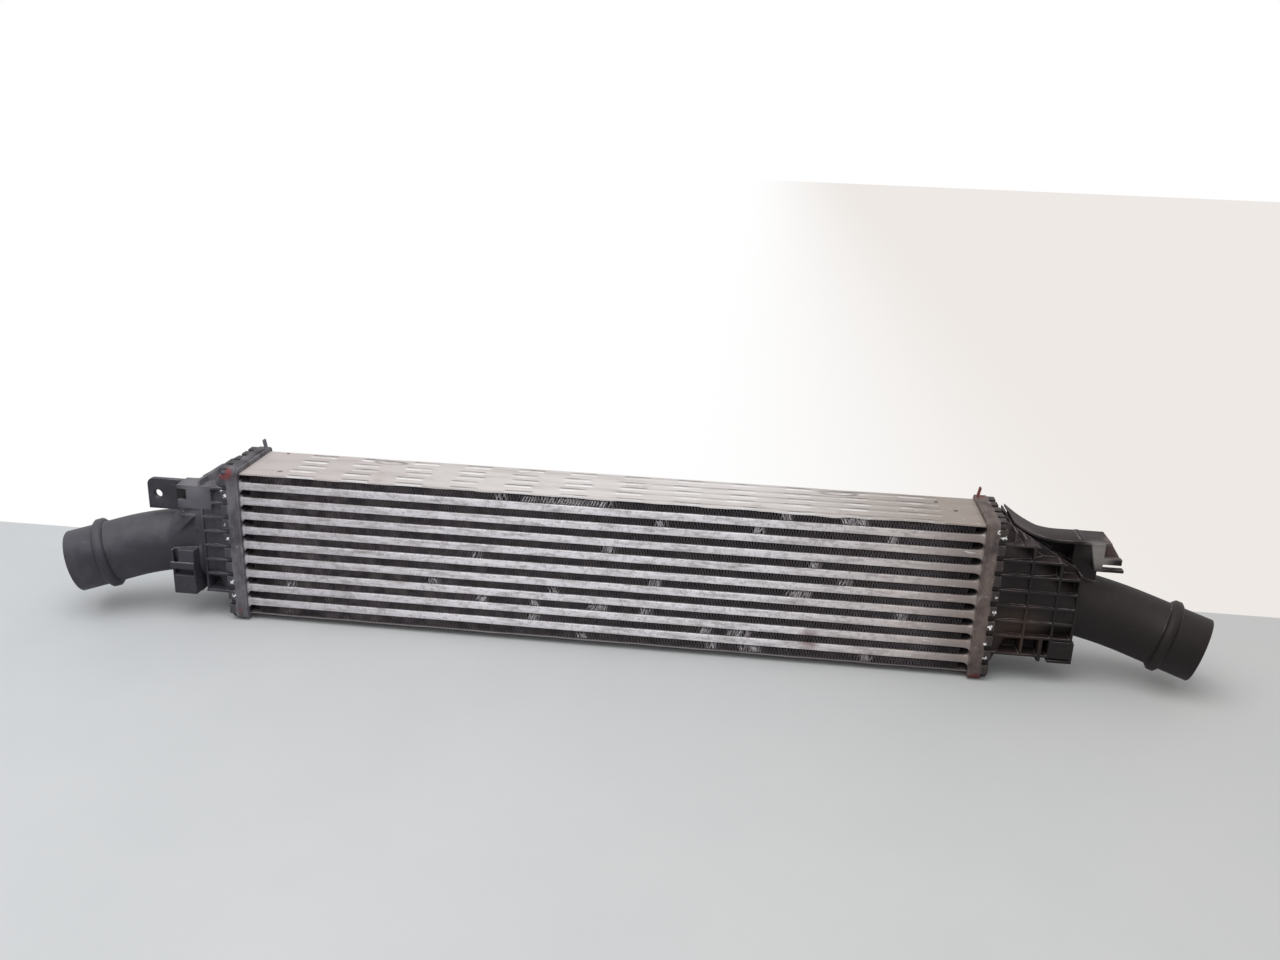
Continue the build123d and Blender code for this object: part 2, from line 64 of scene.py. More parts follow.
# One socket that can be used like a number in an expression.
class Signal:
    def __init__(self, graph, socket):
        self.graph = graph
        self.socket = socket

    def calc(self, operation, *terms):
        return self.graph.node("ShaderNodeMath", {"operation": operation}, dict(enumerate(terms)))

    def __add__(self, other):
        return self.calc("ADD", self, other)

    def __radd__(self, other):
        return self.calc("ADD", other, self)

    def __sub__(self, other):
        return self.calc("SUBTRACT", self, other)

    def __rsub__(self, other):
        return self.calc("SUBTRACT", other, self)

    def __mul__(self, other):
        return self.calc("MULTIPLY", self, other)

    def __rmul__(self, other):
        return self.calc("MULTIPLY", other, self)

    def __truediv__(self, other):
        return self.calc("DIVIDE", self, other)

    def __neg__(self):
        return self.calc("MULTIPLY", self, -1.0)

    def __abs__(self):
        return self.calc("ABSOLUTE", self)

    def most(self, other):
        return self.calc("MAXIMUM", self, other)

    def least(self, other):
        return self.calc("MINIMUM", self, other)

    def rise(self, low, high):  # 0 below low, 1 above high, smooth between
        ends = {0: self, 1: low, 2: high, 3: 0.0, 4: 1.0}
        return self.graph.node("ShaderNodeMapRange", {"interpolation_type": "SMOOTHSTEP"}, ends)


# A node tree, of a material or of a modifier, with one way to add a node.
class Graph:
    def __init__(self, tree):
        self.tree = tree

    def node(self, kind, settings=None, values=None, out=0):
        made = self.tree.nodes.new(kind)
        for name, setting in (settings or {}).items():
            setattr(made, name, setting)
        for key, value in (values or {}).items():
            if isinstance(value, Signal):
                self.tree.links.new(value.socket, made.inputs[key])
            else:
                made.inputs[key].default_value = value
        return Signal(self, made.outputs[out]) if made.outputs else made

    def split(self, vector):  # its X, Y and Z
        apart = self.node("ShaderNodeSeparateXYZ", {}, {0: vector}).socket.node
        return {letter: Signal(self, apart.outputs[letter]) for letter in "XYZ"}

    def vector(self, **parts):
        return self.node("ShaderNodeCombineXYZ", {}, parts)


def tone(code):  # screen colour such as "a7a3a8" as linear light
    parts = [int(code[i : i + 2], 16) / 255 for i in (0, 2, 4)]
    linear = [p / 12.92 if p <= 0.04045 else ((p + 0.055) / 1.055) ** 2.4 for p in parts]
    return (*linear, 1.0)


class Finish(Graph):
    def __init__(self, name):
        self.material = bpy.data.materials.new(name)
        self.material.use_nodes = True
        super().__init__(self.material.node_tree)
        self.tree.nodes.clear()
        self.place = self.node("ShaderNodeTexCoord", out="Object")
        self.parts = self.split(self.place)

    def axis(self, letter):
        return self.parts[letter]

    def stretched(self, scale, shift=(0, 0, 0)):
        return self.node("ShaderNodeMapping", {}, {"Vector": self.place, "Scale": scale, "Location": shift})

    def noise(self, scale, detail, rough, where=None):
        values = {"Vector": where or self.place, "Scale": scale, "Detail": detail, "Roughness": rough}
        return self.node("ShaderNodeTexNoise", {}, values)

    def mix(self, share, first, second):
        return self.node("ShaderNodeMix", {"data_type": "RGBA"}, {0: share, 6: first, 7: second}, out=2)

    def ragged(self, scale, reach):  # place pushed about, so that spots lose their round outline
        drawn = self.node("ShaderNodeTexNoise", {}, {"Vector": self.place, "Scale": scale}, out="Color")
        centred = self.node("ShaderNodeVectorMath", {"operation": "SUBTRACT"}, {0: drawn, 1: (0.5, 0.5, 0.5)})
        push = self.node("ShaderNodeVectorMath", {"operation": "SCALE"}, {0: centred, "Scale": reach})
        return self.node("ShaderNodeVectorMath", {"operation": "ADD"}, {0: self.place, 1: push})

    def near(self, point, radius, soft=0.5, where=None):  # 1 at the point, 0 past the radius
        ends = {0: where or self.place, 1: point}
        gap = self.node("ShaderNodeVectorMath", {"operation": "DISTANCE"}, ends, out="Value")
        return 1 - gap.rise(radius * (1 - soft), radius)

    def facing(self, letter):  # how far the surface faces along one axis
        return self.split(self.node("ShaderNodeNewGeometry", out="Normal"))[letter]

    def attribute(self, name):
        return self.node("ShaderNodeAttribute", {"attribute_name": name}, out="Fac")

    def bump(self, height, distance, strength):
        return self.node("ShaderNodeBump", {}, {"Height": height, "Distance": distance, "Strength": strength})

    def surface(self, **values):
        names = {
            "base": "Base Color",
            "rough": "Roughness",
            "metal": "Metallic",
            "normal": "Normal",
            "specular": "Specular IOR Level",
        }
        shader = self.node("ShaderNodeBsdfPrincipled", {}, {names[key]: values[key] for key in values})
        self.node("ShaderNodeOutputMaterial", {}, {"Surface": shader})
        return self.material


tubeLook = {
    "leftEnd": tone("d6d2d7"),
    "middle": tone("f7f4f8"),
    "right": tone("dcd3d1"),
    "rightEnd": tone("8a7c75"),
    "streak": tone("a29b9a"),
    "mottle": tone("8d8687"),
    "grime": tone("5d5350"),
    "shine": tone("f0ecec"),
    "stain": tone("73494d"),
    "stainAt": (0.178, -0.032, 0.018),
    "stainSize": 0.013,
    "inside": tone("3a3437"),
}


def tubeFinish(look):
    f = Finish("tubeFinish")
    x = f.axis("X")
    base = f.mix(x.rise(-0.31, -0.08), look["leftEnd"], look["middle"])
    base = f.mix(x.rise(0.1, 0.27), base, look["right"])
    base = f.mix(x.rise(0.24, 0.305) * 0.85, base, look["rightEnd"])
    streak = f.noise(95, 4, 0.65, f.stretched((0.35, 1, 2.2)))
    base = f.mix(streak.rise(0.4, 0.75) * 0.8, base, look["streak"])
    mottle = f.noise(300, 3, 0.7, f.stretched((0.7, 1, 1), (2, 9, 4)))
    base = f.mix(mottle.rise(0.5, 0.62) * 0.35, base, look["mottle"])
    grime = f.noise(45, 5, 0.65, f.stretched((1, 1, 1.4), (3, 1, 2)))
    base = f.mix(grime.rise(0.58, 0.8) * 0.5, base, look["grime"])
    shine = f.noise(150, 3, 0.6, f.stretched((0.5, 1, 2), (7, 4, 1)))
    base = f.mix(shine.rise(0.6, 0.75) * 0.6, base, look["shine"])
    stained = f.near(look["stainAt"], look["stainSize"], 0.9) * grime.rise(0.25, 0.45)
    base = f.mix(stained * 0.8, base, look["stain"])
    base = f.mix(f.axis("Y").rise(-0.0312, -0.0295) * 0.75, base, look["inside"])  # painted shade inside the rows
    rough = 0.38 + streak * 0.3
    ripple = f.noise(220, 3, 0.5, f.stretched((0.3, 1, 1.5)))
    return f.surface(base=base, rough=rough, metal=0.5, normal=f.bump(ripple, 0.0004, 0.35))


finLook = {
    "left": tone("5c5459"),
    "right": tone("857c81"),
    "dust": tone("9a9195"),
    "ends": tone("2e272a"),
    "bent": tone("d2cccd"),
}


def finFinish(look):
    f = Finish("finFinish")
    dust = f.noise(90, 4, 0.6)
    base = f.mix(f.axis("X").rise(-0.3, 0.1), look["left"], look["right"])
    base = f.mix(dust.rise(0.35, 0.7), base, look["dust"])
    # fin rows darker towards the headers: painted shade of the hollow row ends
    base = f.mix(abs(f.axis("X")).rise(0.27, 0.292) * 0.7, base, look["ends"])
    # crushed foil painted lighter: painted highlight where the flattened foil catches the light
    base = f.mix(f.attribute("bent") * 0.7, base, look["bent"])
    return f.surface(base=base, rough=0.5, metal=0.1)


bladeLook = {"clean": tone("cbc7cb"), "dusty": tone("777075")}


def bladeFinish(look):
    f = Finish("bladeFinish")
    base = f.mix(f.noise(240, 3, 0.6).rise(0.38, 0.62), look["clean"], look["dusty"])
    return f.surface(base=base, rough=0.4, metal=0.3)


plateLook = {
    "leftEnd": tone("cec5c3"),
    "middle": tone("e6e0de"),
    "rightEnd": tone("a4988f"),
    "streak": tone("b4aba6"),
    "stain": tone("968a84"),
    "speck": tone("efebe8"),
    "underside": tone("5e585b"),
    "paintedHighlightTone": tone("ffffff"),
    "groove": tone("4f4541"),
}


def plateFinish(look):
    f = Finish("plateFinish")
    x = f.axis("X")
    base = f.mix(x.rise(-0.31, -0.02), look["leftEnd"], look["middle"])
    base = f.mix(x.rise(0.1, 0.3), base, look["rightEnd"])
    streak = f.noise(40, 5, 0.6, f.stretched((0.25, 1.6, 1)))
    base = f.mix(streak.rise(0.45, 0.7) * 0.5, base, look["streak"])
    stain = f.noise(28, 5, 0.65, f.stretched((1, 1.3, 1), (4, 2, 0)))
    base = f.mix(stain.rise(0.56, 0.74) * 0.45, base, look["stain"])
    speck = f.noise(260, 3, 0.6)
    base = f.mix(speck.rise(0.62, 0.75) * 0.4, base, look["speck"])
    # noise that breaks up the painted highlights and painted shade
    paintedLightBreakup = f.noise(70, 3, 0.6, f.stretched((0.6, 1.6, 1), (1, 7, 2))).rise(0.4, 0.6)
    low = 1 - f.axis("Z").rise(0.002, 0.004)
    base = f.mix(low * (0.5 + stain * 0.5), base, look["underside"])
    dull = 1 - x.rise(0.16, 0.27) * 0.45
    # painted highlight on the front slope of each dash, dimmer to the right, then painted shade behind each
    # dash and round two dents
    base = f.mix(f.attribute("lit") * (0.35 + paintedLightBreakup * 0.65) * dull, base, look["paintedHighlightTone"])
    base = f.mix(f.attribute("shade") * (0.4 + paintedLightBreakup * 0.45), base, look["groove"])
    rough = 0.42 + streak * 0.25
    return f.surface(base=base, rough=rough, metal=0.2, normal=f.bump(speck, 0.0003, 0.25))


# dabs are place, radius, colour and share, and glints are x and z in millimetres on the front face
headerLooks = {
    "left": {
        "light": tone("77747a"),
        "dark": tone("4c494e"),
        "tab": tone("3b393e"),
        "wearAndHighlight": tone("b9b1ad"),
        "inside": tone("1d1a1c"),
        "glint": tone("fbfafb"),
        "edge": tone("a8a5ab"),
        "dabs": [
            ((-0.319, -0.037, 0.131), 0.0085, "7d3a3f", 0.9),
            ((-0.3075, -0.037, 0.128), 0.003, "7d4a4a", 0.5),
            ((-0.315, -0.037, 0.005), 0.003, "7d4a4a", 0.5),
        ],
        "glints": [(-310, 136), (-323.6, 114), (-321, 110), (-323, 84), (-321, 71), (-321, 31), (-320, 18)],
    },
    "right": {
        "light": tone("73655f"),
        "dark": tone("483e3f"),
        "tab": tone("2f2627"),
        "wearAndHighlight": tone("b9b1ad"),
        "inside": tone("1d1a1c"),
        "glint": tone("fbfafb"),
        "edge": tone("938680"),
        "dabs": [
            ((0.3125, 0.0295, 0.139), 0.0095, "6e2226", 0.9),
            ((0.315, -0.035, -0.004), 0.008, "641d22", 0.9),
        ],
        "glints": [
            (318, 126), (323, 122), (331, 119), (323, 70), (323, 57.5), (322, 43.6), (320, 29), (321, 16),
        ],
    },
}


def headerFinish(name, look):
    f = Finish(name)
    grime = f.noise(55, 5, 0.65, f.stretched((1, 1, 0.6)))
    base = f.mix(grime.rise(0.38, 0.68), look["light"], look["dark"])
    wearAndHighlight = f.noise(180, 4, 0.6)
    base = f.mix(wearAndHighlight.rise(0.6, 0.75) * 0.5, base, look["wearAndHighlight"])
    crimped = abs(f.axis("X")).rise(0.3185, 0.3205)  # the tabs are darker than the band
    base = f.mix(crimped * 0.8, base, look["tab"])
    base = f.mix(f.attribute("wearAndHighlight") * wearAndHighlight.rise(0.45, 0.65) * 0.5, base, look["edge"])
    # header face between the tubes painted dark: painted shade
    inside = (1 - abs(f.axis("Y")).rise(0.0315, 0.033)) * (1 - abs(f.axis("Z") - 0.065).rise(0.063, 0.064))
    base = f.mix(inside * 0.85, base, look["inside"])
    for point, radius, shade, share in look["dabs"]:
        spread = radius * (1.15 - grime * 0.4)
        base = f.mix(f.near(point, spread) * share, base, tone(shade))
    ragged = f.ragged(420, 7 * mm)
    for x, z in look["glints"]:
        base = f.mix(f.near((x * mm, -37 * mm, z * mm), 1.7 * mm, 0.4, ragged), base, look["glint"])
    return f.surface(base=base, rough=0.42 + grime * 0.25, metal=0.25, normal=f.bump(wearAndHighlight, 0.0005, 0.3))


# patches are place, radius, softness, colour and share, and the hollows painted dark as shade are the low and
# high corner of a box
tankLooks = {
    "left": {
        "base": tone("34323a"),
        "dust": tone("6e6c73"),
        "scuff": tone("77757a"),
        "edge": tone("8f8c94"),
        "settled": 0.4,
        "rough": 0.42,
        "shine": 0.4,
        "patches": [
            ((-0.35, -0.032, 0.103), 0.024, 0.7, "716e76", 0.85),
            ((-0.33, -0.032, 0.08), 0.05, 0.7, "4d4b52", 0.4),
            ((-0.35, -0.018, 0.118), 0.022, 0.5, "828085", 0.8),
        ],
        "hollow": tone("09090a"),
        "hollows": [((-0.3725, -0.029, 0.0965), (-0.341, -0.005, 0.1135))],
    },
    "right": {
        "base": tone("1b1415"),
        "dust": tone("3d3332"),
        "scuff": tone("443a39"),
        "edge": tone("8f8488"),
        "settled": 0.45,
        "rough": 0.45,
        "shine": 0.3,
        "patches": [
            ((0.401, -0.021, 0.107), 0.017, 0.7, "8f8b88", 0.95),
            # brown patch where the fork root sits in shade: painted light of a lit face
            ((0.416, -0.009, 0.109), 0.013, 0.3, "6d5d58", 1.2),
            ((0.345, -0.034, 0.04), 0.03, 0.7, "4a3a30", 0.6),
            # lighter patch over the top of the tank: painted highlight of the lit ribs
            ((0.338, -0.02, 0.124), 0.03, 0.8, "574c4e", 0.8),
        ],
        "hollow": tone("09090a"),
        "hollows": [],
    },
}


def plasticFinish(name, look):
    f = Finish(name)
    up = f.facing("Z")
    cloud = f.noise(38, 5, 0.6)
    dust = f.noise(140, 5, 0.7)
    share = up.rise(0.1, 0.95) * look["settled"] + cloud.rise(0.45, 0.75) * 0.25
    shade = f.mix(share * (0.5 + dust * 0.9), look["base"], look["dust"])
    for point, radius, soft, patch, amount in look["patches"]:
        shade = f.mix(f.near(point, radius, soft) * (0.6 + dust * 0.5) * amount, shade, tone(patch))
    for low, high in look["hollows"]:  # hollows painted dark: painted shade
        inside = 1.0
        for letter, start, end in zip("XYZ", low, high):
            at = f.axis(letter)
            inside = at.rise(start - 0.2 * mm, start) * (1 - at.rise(end, end + 0.2 * mm)) * inside
        shade = f.mix(inside * 0.9, shade, look["hollow"])
    scuff = f.noise(70, 4, 0.7, f.stretched((1, 1, 2.5), (5, 3, 1)))
    shade = f.mix(scuff.rise(0.62, 0.72) * 0.3, shade, look["scuff"])
    # noise that breaks up the painted highlight on the edges
    paintedLightBreakup = f.noise(85, 4, 0.65, f.stretched((1, 1, 1), (2, 5, 3))).rise(0.4, 0.6)
    lit = f.attribute("wearAndHighlight") * up.rise(0.35, 0.75)  # painted highlight on the upper rounded edges only
    shade = f.mix(lit * (0.15 + paintedLightBreakup * 0.75), shade, look["edge"])
    grain = f.noise(900, 2, 0.5)
    rough = look["rough"] + cloud * 0.25
    return f.surface(base=shade, rough=rough, specular=look["shine"], normal=f.bump(grain, 0.0002, 0.3))


rubberLook = {"clean": tone("1c1a1a"), "dusty": tone("3a3534")}


def rubberFinish(look):
    f = Finish("rubberFinish")
    dust = f.noise(120, 4, 0.6)
    base = f.mix(dust.rise(0.4, 0.7), look["clean"], look["dusty"])
    return f.surface(base=base, rough=0.8, normal=f.bump(dust, 0.0003, 0.3))


finish = {
    "tube": tubeFinish(tubeLook),
    "fin": finFinish(finLook),
    "blade": bladeFinish(bladeLook),
    "plate": plateFinish(plateLook),
    "leftHeader": headerFinish("leftHeaderFinish", headerLooks["left"]),
    "rightHeader": headerFinish("rightHeaderFinish", headerLooks["right"]),
    "leftPlastic": plasticFinish("leftPlasticFinish", tankLooks["left"]),
    "rightPlastic": plasticFinish("rightPlasticFinish", tankLooks["right"]),
    "rubber": rubberFinish(rubberLook),
}
print("finishes made:", len(finish))


def pieceFrom(mesh, name, material, slot, *replaced):
    made = bpy.data.objects.new(name, mesh)
    bpy.context.collection.objects.link(made)
    if not mesh.materials:
        mesh.materials.append(material)
    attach(made, "root")
    if replaced:
        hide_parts(*replaced)


def evaluated(source):  # plain mesh of an object with its modifiers applied
    graph = bpy.context.evaluated_depsgraph_get()
    mesh = bpy.data.meshes.new_from_object(source.evaluated_get(graph))
    bpy.data.objects.remove(source)
    return mesh


def walled(mesh, thickness, offset):  # a sheet given its wall
    holder = bpy.data.objects.new("sheet", mesh)
    bpy.context.collection.objects.link(holder)
    wall = holder.modifiers.new("wall", "SOLIDIFY")
    wall.thickness = thickness
    wall.offset = offset
    return evaluated(holder)


socketKinds = {float: "NodeSocketFloat", int: "NodeSocketInt", "material": "NodeSocketMaterial"}


class Pattern(Graph):
    def __init__(self, name, inputs):
        super().__init__(bpy.data.node_groups.new(name, "GeometryNodeTree"))
        ends = self.tree.interface
        ends.new_socket("Geometry", in_out="INPUT", socket_type="NodeSocketGeometry")
        ends.new_socket("Geometry", in_out="OUTPUT", socket_type="NodeSocketGeometry")
        self.ids = {}
        for key, kind in inputs.items():
            self.ids[key] = ends.new_socket(key, in_out="INPUT", socket_type=socketKinds[kind]).identifier
        self.entry = self.tree.nodes.new("NodeGroupInput")

    def input(self, name):
        return Signal(self, self.entry.outputs[name])

    def finishWith(self, geometry):
        real = self.node("GeometryNodeRealizeInstances", {}, {0: geometry})
        coat = {"Geometry": real, "Material": self.input("Finish")}
        self.node("NodeGroupOutput", {}, {0: self.node("GeometryNodeSetMaterial", {}, coat)})

    def run(self, name, values, seeds=None):
        holder = bpy.data.objects.new(name, seeds or bpy.data.meshes.new(name))
        bpy.context.collection.objects.link(holder)
        modifier = holder.modifiers.new(name, "NODES")
        modifier.node_group = self.tree
        for key, value in values.items():
            modifier[self.ids[key]] = value
        return evaluated(holder)


def points(mesh):
    flat = np.empty(len(mesh.vertices) * 3, dtype=np.float64)
    mesh.vertices.foreach_get("co", flat)
    return flat.reshape(-1, 3)


def setPoints(mesh, place):
    mesh.vertices.foreach_set("co", place.ravel())
    mesh.update()


def paint(mesh, name, values):  # one number for each point
    mark = mesh.attributes.new(name, "FLOAT", "POINT")
    mark.data.foreach_set("value", values.ravel())


def wave(values, seed):  # smooth random wave, from -1 to 1
    draw = np.random.default_rng(seed)
    total = np.zeros_like(values)
    weight = 0
    for rate, size in ((1, 1.0), (2.3, 0.6), (5.1, 0.35)):
        total += size * np.sin(values * rate + draw.uniform(0, 2 * math.pi))
        weight += size
    return total / weight


finSizes = {
    "length": 601 * mm,
    "firstFold": -0.31,
    "pitch": 2.6 * mm,
    "height": 6.3 * mm,
    "depth": 64 * mm,
    "foil": 0.16 * mm,
    "rowPitch": 13.35 * mm,
    "strips": 10,
    "plate": 1.5 * mm,
    "gap": 0.02 * mm,
    "sway": 0.35 * mm,  # folds wander along the row
    "shift": 1.0 * mm,  # and each row starts elsewhere
    "ripple": 0.25 * mm,
    "bentDepth": 2.2 * mm,
    "seed": 50,
    "steps": 8,
    "rows": 4,
}
# x, z and half width of each crushed place, in millimetres
crushed = [
    (-34, 123, 40), (-84, 124, 8), (-106, 70, 8), (-143, 45, 9), (-102, 31, 9), (-39, 43, 8),
    (-56, 30, 7), (-1, 30, 11), (-57, 17, 8), (-15, 5, 8), (-270, 31, 6), (3, 124, 8),
    (151, 123, 7), (206, 123, 13), (129, 110, 7), (49, 111, 8), (166, 57, 13), (176, 83, 7),
    (202, 69, 8), (46, 57, 8), (6.5, 86, 9), (40, 30, 8), (91, 18, 8), (119, 17, 12),
    (96, 4, 7), (129, 4, 12), (237, 109, 6), (250, 42, 7), (225, 3, 7),
]


def rowOf(z):  # fin strip at a height in millimetres
    return int((z * mm - finSizes["plate"]) // finSizes["rowPitch"])


def finPattern():
    sizes = {"Pitch": float, "Folds": int, "Height": float, "Depth": float}
    p = Pattern("finPattern", {**sizes, "Finish": "material"})
    cuts = {"Vertices X": finSizes["steps"] + 1, "Vertices Y": finSizes["rows"] + 1}
    sheet = p.node("GeometryNodeMeshGrid", {}, {"Size X": 1.0, "Size Y": 1.0, **cuts})
    place = p.split(p.node("GeometryNodeInputPosition"))
    across, along = place["X"], place["Y"]
    peak = 0.5 + (abs(across) * 2 - 0.5) * 1.25  # straight legs with blunt turns
    peak = peak.least(1.0).most(0.0)
    depth = (along + 0.5) * (along + 0.5) * (along + 1.5) / 2  # closer rows near the front edge
    width, deep, high = p.input("Pitch"), p.input("Depth"), p.input("Height")
    fold = p.vector(X=across * width, Y=depth * deep, Z=peak * high)
    shaped = p.node("GeometryNodeSetPosition", {}, {0: sheet, "Position": fold})
    line = p.node("GeometryNodeMeshLine", {}, {"Count": p.input("Folds"), "Offset": p.vector(X=width)})
    spread = p.node("GeometryNodeInstanceOnPoints", {}, {"Points": line, "Instance": shaped})
    real = p.node("GeometryNodeRealizeInstances", {}, {0: spread})
    joined = p.node("GeometryNodeMergeByDistance", {}, {"Geometry": real, "Distance": 0.01 * mm})
    p.finishWith(joined)
    return p


def makeFins():
    pattern = finPattern()
    folds = round(finSizes["length"] / finSizes["pitch"])
    values = {
        "Pitch": finSizes["pitch"],
        "Folds": folds,
        "Height": finSizes["height"],
        "Depth": finSizes["depth"],
        "Finish": finish["fin"],
    }
    front = -finSizes["depth"] / 2
    flat = pattern.run("finSheet", values)
    for row in range(finSizes["strips"]):
        mesh = flat.copy()
        place = points(mesh)
        place[:, 0] += -finSizes["pitch"] * (folds - 1) / 2
        place[:, 1] += front
        low = finSizes["plate"] + row * finSizes["rowPitch"] + finSizes["gap"]
        draw = np.random.default_rng(finSizes["seed"] + row)
        start = draw.uniform(-1, 1) * finSizes["shift"]
        place[:, 0] += finSizes["sway"] * wave(place[:, 0] * 90, row) + start
        bent = np.zeros(len(place))
        lean = draw.uniform(-1, 1, folds + 2)
        fold = np.round((place[:, 0] - finSizes["firstFold"]) / finSizes["pitch"]).astype(int)
        fold = np.clip(fold, 0, folds + 1)
        near = np.exp(-((place[:, 1] - front) / finSizes["bentDepth"]) ** 2)
        for x, z, half in crushed:
            if rowOf(z) == row:
                reach = np.exp(-((place[:, 0] - x * mm) / (half * 0.75 * mm)) ** 4)
                bent = np.maximum(bent, reach * near)
        place[:, 0] += bent * (1.1 + 0.9 * lean[fold]) * mm
        place[:, 1] += bent * (0.5 + 0.5 * lean[(fold * 7) % (folds + 2)]) * mm
        place[:, 1] += near * finSizes["ripple"] * wave(place[:, 0] * 400, row + 20)
        place[:, 1] = np.maximum(place[:, 1], front)
        place[:, 2] += low
        setPoints(mesh, place)
        paint(mesh, "bent", bent)
        solid = walled(mesh, finSizes["foil"], 0)
        place = points(solid)
        place[:, 1] = np.clip(place[:, 1], front, -front)
        place[:, 2] = np.clip(place[:, 2], low, low + finSizes["height"])
        setPoints(solid, place)
        pieceFrom(solid, f"finStrip{row + 1}", finish["fin"], "fin_alloy", f"fin_{row + 1}")
        bpy.data.meshes.remove(mesh)
    bpy.data.meshes.remove(flat)


makeFins()
print("fin strips made")

# Foil edges that were knocked flat lie across the front of the crushed places.
bladeSizes = {
    "pitch": 1.5 * mm,
    "height": 5.0 * mm,
    "width": 0.75 * mm,
    "front": -31.75 * mm,
    "reach": 1.5 * mm,  # from the front of the core backwards
    "lean": 32,
    "yaw": 35,
    "curl": 45.0,
    "seed": 8,
}


def bladePattern():
    p = Pattern("bladePattern", {"Width": float, "Height": float, "Finish": "material"})
    size = {"Size X": p.input("Width"), "Size Y": p.input("Height"), "Vertices X": 3, "Vertices Y": 4}
    sheet = p.node("GeometryNodeMeshGrid", {}, size)
    along = p.split(p.node("GeometryNodeInputPosition"))["Y"]
    curl = p.vector(Z=along * along * bladeSizes["curl"])
    bent = p.node("GeometryNodeSetPosition", {}, {0: sheet, "Offset": curl})
    turn = p.node("GeometryNodeInputNamedAttribute", {"data_type": "FLOAT_VECTOR"}, {"Name": "turn"})
    place = {"Points": p.input("Geometry"), "Instance": bent, "Rotation": turn}
    p.finishWith(p.node("GeometryNodeInstanceOnPoints", {}, place))
    return p


def makeBlades():
    draw = np.random.default_rng(bladeSizes["seed"])
    places, turns = [], []
    for x, z, half in crushed:
        middle = finSizes["plate"] + rowOf(z) * finSizes["rowPitch"] + finSizes["height"] / 2
        wide, comb = half > 10, half > 30  # the longest place is a regular comb
        count = max(3, round(2 * half * mm * (0.8 if wide else 0.55) / bladeSizes["pitch"]))
        lean = draw.choice([-1, 1])
        count = round(count * 0.6) if comb else count
        for step in range(count):
            along = (step + 0.5) / count * 2 - 1
            if draw.uniform() < 0.25 and not comb:
                continue
            sway = draw.uniform(-0.5, 0.5, 3) * (0.3 if comb else 1) * mm
            spread = half * (0.8 if wide else 0.5) * mm
            places.append((x * mm + along * spread + sway[0], bladeSizes["front"], middle + sway[2]))
            tip = math.radians(bladeSizes["lean"] * (0.8 if comb else lean * draw.uniform(0.3, 1.2)))
            yaw = math.radians(bladeSizes["yaw"] * draw.uniform(-1, 1))
            turns.append((math.pi / 2 + draw.uniform(-0.2, 0.1), tip, yaw))
    seeds = bpy.data.meshes.new("bladeSeeds")
    seeds.from_pydata(places, [], [])
    seeds.attributes.new("turn", "FLOAT_VECTOR", "POINT").data.foreach_set("vector", np.array(turns).ravel())
    values = {"Width": bladeSizes["width"], "Height": bladeSizes["height"], "Finish": finish["blade"]}
    mesh = bladePattern().run("bladeSet", values, seeds=seeds)
    place = points(mesh)
    front = -finSizes["depth"] / 2
    place[:, 1] = np.clip(place[:, 1], front, front + bladeSizes["reach"])
    setPoints(mesh, place)
    mesh.shade_smooth()
    pieceFrom(mesh, "bentFoil", finish["blade"], "fin_alloy")


makeBlades()
print("bent foil made")


tubeSizes = {
    "count": 9,
    "half": 311 * mm,
    "height": 7.0 * mm,
    "depth": 64 * mm,
    "nose": 1.1 * mm,
    "wall": 0.6 * mm,
    "gap": 0.05 * mm,
    "ripple": 0.5 * mm,
    "rippleScale": 14.0,
    "sharp": 40,
    "steps": 120,
}


def tubeMiddle(row):  # height of a tube's middle
    first = finSizes["plate"] + finSizes["height"] + tubeSizes["gap"]
    return first + row * finSizes["rowPitch"] + tubeSizes["height"] / 2


def tubePattern():
    sizes = ("Length", "Height", "Depth", "Nose", "Seed", "Ripple")
    p = Pattern("tubePattern", {**{size: float for size in sizes}, "Finish": "material"})
    half = p.input("Length")
    ends = {"Start": p.vector(X=-half), "End": p.vector(X=half)}
    line = p.node("GeometryNodeCurvePrimitiveLine", {}, ends)
    path = p.node("GeometryNodeResampleCurve", {}, {"Curve": line, "Count": tubeSizes["steps"]})
    box = {"Width": p.input("Depth"), "Height": p.input("Height")}
    profile = p.node("GeometryNodeCurvePrimitiveQuadrilateral", {}, box)
    corner = {"Curve": profile, "Radius": p.input("Nose"), "Limit Radius": True, "Count": 4}
    profile = p.node("GeometryNodeFilletCurve", {"mode": "POLY"}, corner)
    skin = p.node("GeometryNodeCurveToMesh", {}, {"Curve": path, "Profile Curve": profile})
    at = p.node("GeometryNodeInputPosition")
    ripple = {"Vector": at, "W": p.input("Seed"), "Scale": tubeSizes["rippleScale"], "Detail": 2.0}
    shake = p.node("ShaderNodeTexNoise", {"noise_dimensions": "4D"}, ripple)
    push = p.vector(Z=(shake - 0.5) * p.input("Ripple"))
    p.finishWith(p.node("GeometryNodeSetPosition", {}, {0: skin, "Offset": push}))
    return p


def makeTubes():
    pattern = tubePattern()
    for row in range(tubeSizes["count"]):
        values = {
            "Length": tubeSizes["half"],
            "Height": tubeSizes["height"],
            "Depth": tubeSizes["depth"],
            "Nose": tubeSizes["nose"],
            "Seed": row * 3.7,
            "Ripple": tubeSizes["ripple"],
            "Finish": finish["tube"],
        }
        mesh = walled(pattern.run("tubeSkin", values), tubeSizes["wall"], -1)
        place = points(mesh)
        place[:, 2] += tubeMiddle(row)
        setPoints(mesh, place)
        mesh.shade_smooth()
        mesh.set_sharp_from_angle(angle=math.radians(tubeSizes["sharp"]))
        pieceFrom(mesh, f"flatTube{row + 1}", finish["tube"], "tube_alloy", f"tube_{row + 1}")


